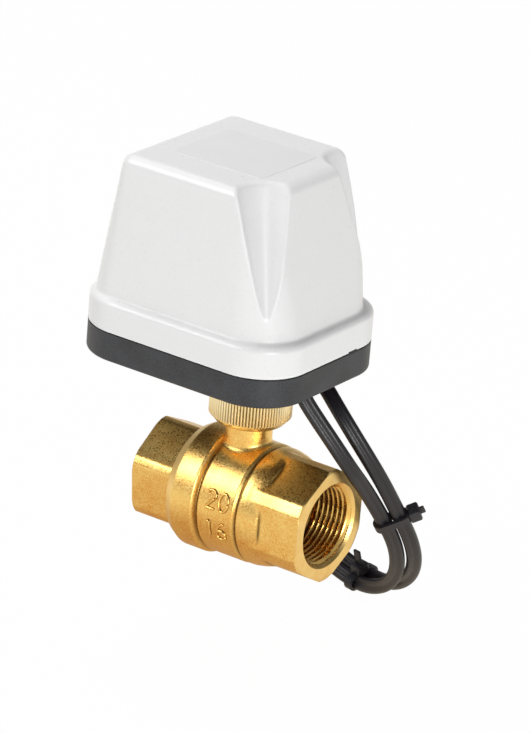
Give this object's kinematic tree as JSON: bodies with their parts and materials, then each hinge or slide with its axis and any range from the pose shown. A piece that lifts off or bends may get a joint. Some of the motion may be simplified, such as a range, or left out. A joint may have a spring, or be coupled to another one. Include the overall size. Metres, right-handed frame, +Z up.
{
  "type": "motorised drain ball valve",
  "caption": "In-line brass ball valve with female threaded ports and hexagon ends, turned by a geared motor in a white cover on a black base, held by a knurled nut, with a flat twin cable.",
  "frame": {"origin": "centre of the inlet port's mouth, on the flow axis, at the end adapter's end face", "axes": "+X along the flow axis from the inlet to the outlet, +Z up along the stem towards the actuator, +Y to the side of the valve, away from the picture's camera"},
  "size_m": [0.0982, 0.1034, 0.1613],
  "materials": {
    "forged_brass": "blasted",
    "nut_brass": "machined",
    "stem_brass": "machined",
    "ball_chrome": "polished",
    "seat_white": "smooth",
    "seal_rubber": "matte",
    "steel": "satin",
    "zinc_steel": "bright",
    "cover_white": "satin",
    "base_black": "fine grain",
    "label_grey": "smooth",
    "gear_white": "smooth",
    "bronze": "sintered",
    "motor_black": "smooth",
    "board_green": "satin",
    "terminal_green": "smooth",
    "relay_blue": "smooth",
    "can_aluminium": "smooth",
    "switch_black": "smooth",
    "cable_black": "matte",
    "tie_black": "smooth",
    "core_tinned": "tinned",
    "lead_red": "smooth"
  },
  "bodies": {
    "valve": {"valve_body": "forged_brass", "end_adapter": "forged_brass", "adapter_seal": "seal_rubber", "seat_inlet": "seat_white", "seat_outlet": "seat_white", "stem_thrust_washer": "seat_white", "nut_retaining_ring": "steel", "locating_pins": "steel"},
    "nut": {"knurled_nut": "nut_brass"},
    "stem": {"stem": "stem_brass", "ball": "ball_chrome", "stem_o_rings": "seal_rubber"},
    "output": {"output_shaft": "steel", "output_gear": "steel", "cam_closed": "gear_white", "cam_open": "gear_white"},
    "idler": {"idler_gear": "gear_white"},
    "rotor": {"motor_shaft": "steel", "motor_pinion": "stem_brass"},
    "actuator": {"housing_base": "base_black", "base_gasket": "seal_rubber", "cover": "cover_white", "label": "label_grey", "cover_screws": "zinc_steel", "gear_plate_lower": "steel", "gear_plate_upper": "steel", "plate_pillars": "stem_brass", "frame_screws": "zinc_steel", "idler_pin": "steel", "gearbox_case": "can_aluminium", "motor_can": "zinc_steel", "motor_end_cap": "motor_black", "output_bush": "bronze", "microswitch_closed": "switch_black", "microswitch_open": "switch_black", "switch_screws": "zinc_steel", "circuit_board": "board_green", "board_brackets": "steel", "terminal_block": "terminal_green", "relay": "relay_blue", "capacitor": "can_aluminium", "cable_grommet": "seal_rubber", "cable": "cable_black", "cable_ends": "core_tinned", "cable_tie_front": "tie_black", "cable_tie_rear": "tie_black", "supply_leads": "cable_black", "motor_leads": "lead_red"}
  },
  "joints": [
    {"name": "nut_turn", "type": "hinge", "parent": "valve", "child": "nut", "pos_m": [0.032, 0, 0.035], "axis": [0, 0, -1], "range_deg": [0, 2521]},
    {"name": "actuator_lift", "type": "slide", "parent": "valve", "child": "actuator", "axis": [0, 0, 1], "range_m": [0, 0.0105]},
    {"name": "output_turn", "type": "hinge", "parent": "actuator", "child": "output", "pos_m": [0.032, 0, 0.06], "axis": [0, 0, 1], "range_deg": [0, 90]},
    {"name": "stem_turn", "type": "hinge", "parent": "valve", "child": "stem", "pos_m": [0.032, 0, 0.02], "axis": [0, 0, 1], "range_deg": [-0.1, 90.1]},
    {"name": "idler_turn", "type": "hinge", "parent": "actuator", "child": "idler", "pos_m": [0.01607, 0.01201, 0.062], "axis": [0, 0, 1], "range_deg": [-338, 0.5]},
    {"name": "rotor_turn", "type": "hinge", "parent": "actuator", "child": "rotor", "pos_m": [0.00897, -0.00322, 0.066], "axis": [0, 0, 1], "range_deg": [-0.5, 1013]}
  ],
  "couplings": [
    {"joint": "nut_turn", "follows": "actuator_lift", "rad_per_m": 4188.8},
    {"joint": "stem_turn", "follows": "output_turn", "ratio": 1},
    {"joint": "idler_turn", "follows": "output_turn", "ratio": -3.75},
    {"joint": "rotor_turn", "follows": "output_turn", "ratio": 11.25}
  ]
}
